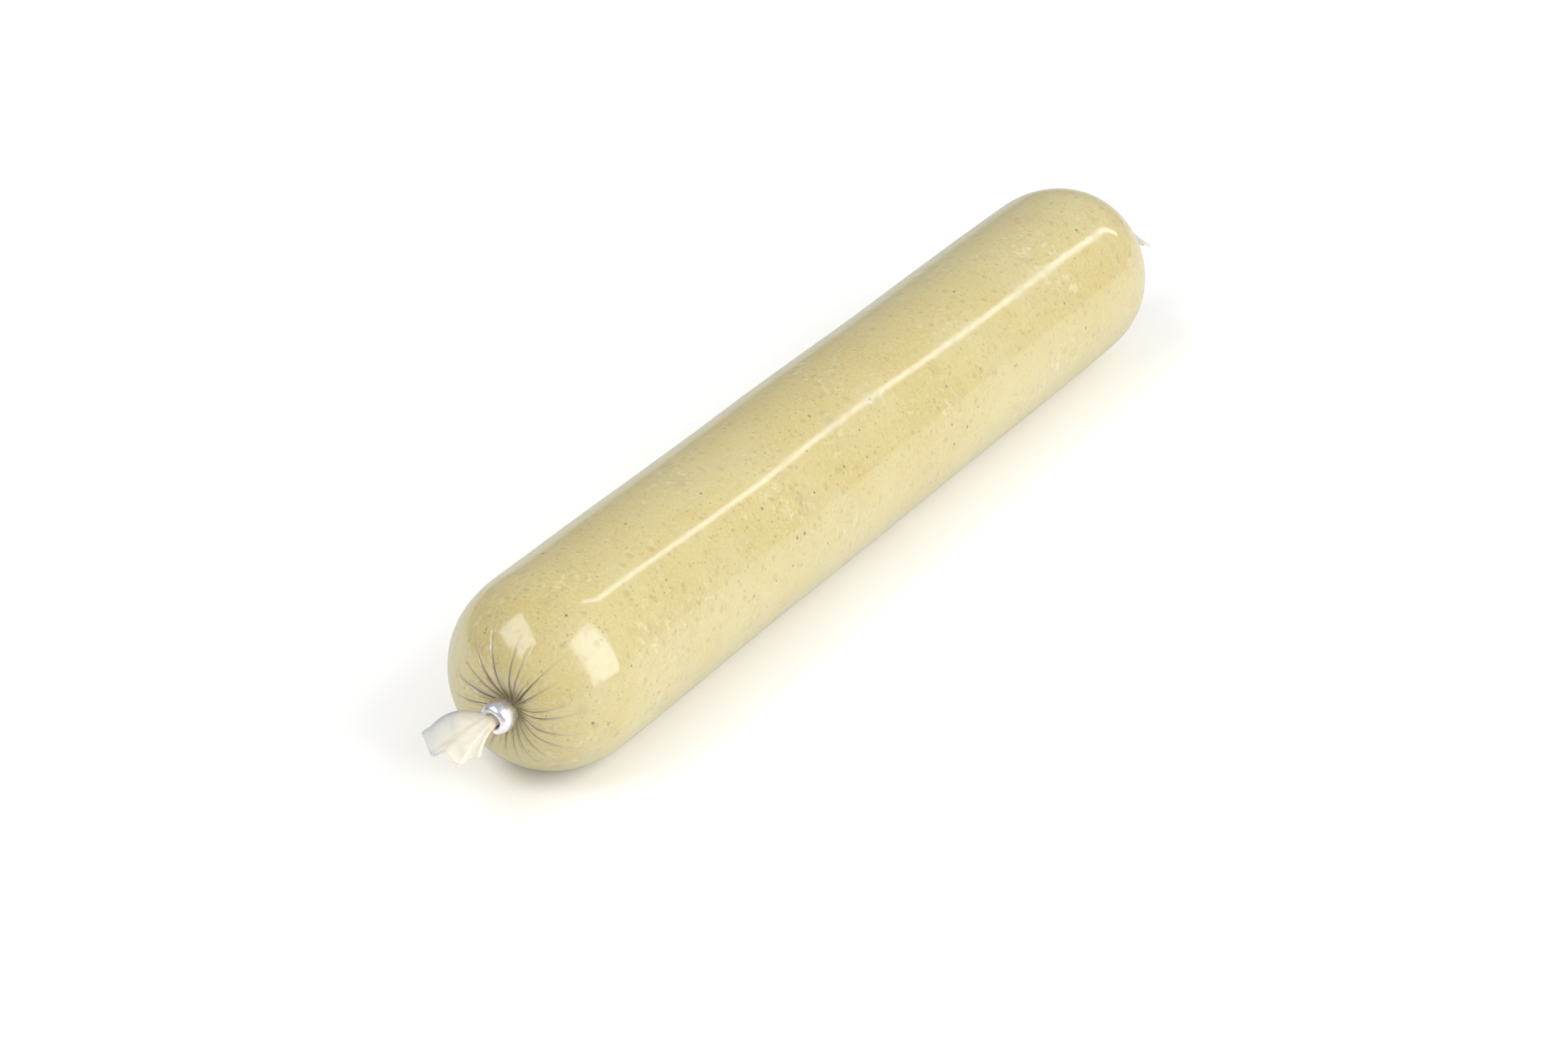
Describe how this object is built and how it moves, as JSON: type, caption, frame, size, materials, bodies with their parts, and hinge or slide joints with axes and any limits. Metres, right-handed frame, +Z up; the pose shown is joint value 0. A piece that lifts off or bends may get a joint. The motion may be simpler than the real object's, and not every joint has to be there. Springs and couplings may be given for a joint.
{
  "type": "clipped spreading sausage",
  "caption": "Pale finely minced spreading sausage in a clear film casing, gathered at both ends into aluminium clips with short fanned film tails.",
  "frame": {"origin": "on the surface that the sausage lies on, under the middle of its box", "axes": "+Y along the sausage from the front clip to the rear clip, +Z up, +X to the right seen from the front clip"},
  "size_m": [0.045, 0.2944, 0.0437],
  "materials": {
    "filling": "moist, finely minced, satin",
    "casing_film": "clear gloss film",
    "clip_metal": "bright drawn wire"
  },
  "bodies": {
    "root": {"filling": "filling", "casing": "casing_film", "front_clip": "clip_metal", "rear_clip": "clip_metal"}
  },
  "joints": []
}
